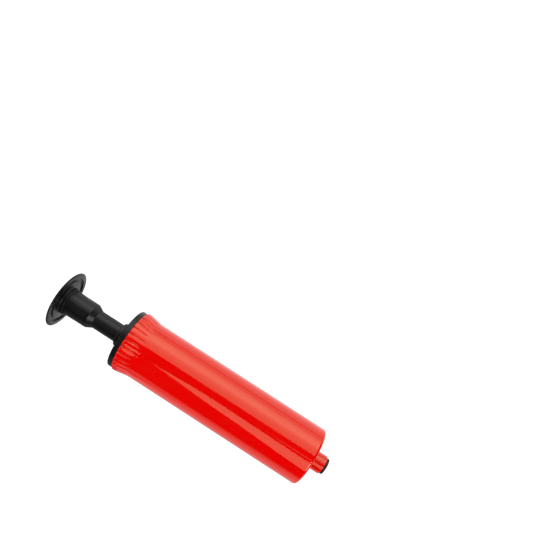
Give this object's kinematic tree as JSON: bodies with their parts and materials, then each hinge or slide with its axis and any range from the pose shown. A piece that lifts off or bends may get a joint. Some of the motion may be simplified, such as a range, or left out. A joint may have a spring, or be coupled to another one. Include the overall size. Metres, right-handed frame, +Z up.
{
  "type": "ball inflation pump",
  "caption": "Small hand pump for inflating toy balls: a flared, fluted barrel, a sliding plunger with a round palm disc, and a needle socket with a check valve at the nozzle.",
  "frame": {"origin": "on the surface the pump lies on, straight under the middle of its length", "axes": "+Z up; +X along the pump's axis, towards the nozzle; the handle points along -X"},
  "size_m": [0.1638, 0.0344, 0.0344],
  "materials": {
    "red_plastic": "glossy",
    "black_plastic": "semi-gloss",
    "natural_plastic": "matt",
    "seal_rubber": "matt",
    "steel": "bright"
  },
  "bodies": {
    "barrel": {"barrel": "red_plastic", "end_cap": "black_plastic", "needle_socket": "black_plastic", "socket_o_ring": "seal_rubber", "valve_seat": "seal_rubber", "valve_spring": "steel"},
    "outlet_ball": {"valve_ball": "steel"},
    "piston_seal": {"piston_cup": "seal_rubber"},
    "plunger": {"piston_rod": "black_plastic", "piston_head": "natural_plastic", "cup_washer": "steel", "piston_screw": "steel", "stop_washer": "seal_rubber", "handle_hub": "black_plastic", "handle_disc": "black_plastic"}
  },
  "joints": [
    {"name": "plunger_slide", "type": "slide", "parent": "barrel", "child": "piston_seal", "axis": [-1, 0, 0], "range_m": [-0.0138, 0.0695]},
    {"name": "plunger_turn", "type": "hinge", "parent": "piston_seal", "child": "plunger", "pos_m": [0, 0, 0.0172], "axis": [-1, 0, 0], "continuous": true},
    {"name": "valve_lift", "type": "slide", "parent": "barrel", "child": "outlet_ball", "axis": [1, 0, 0], "range_m": [0, 0.0008], "stiffness_N_per_m": 50, "springref_m": -0.004, "deforming": ["valve_spring"]}
  ]
}
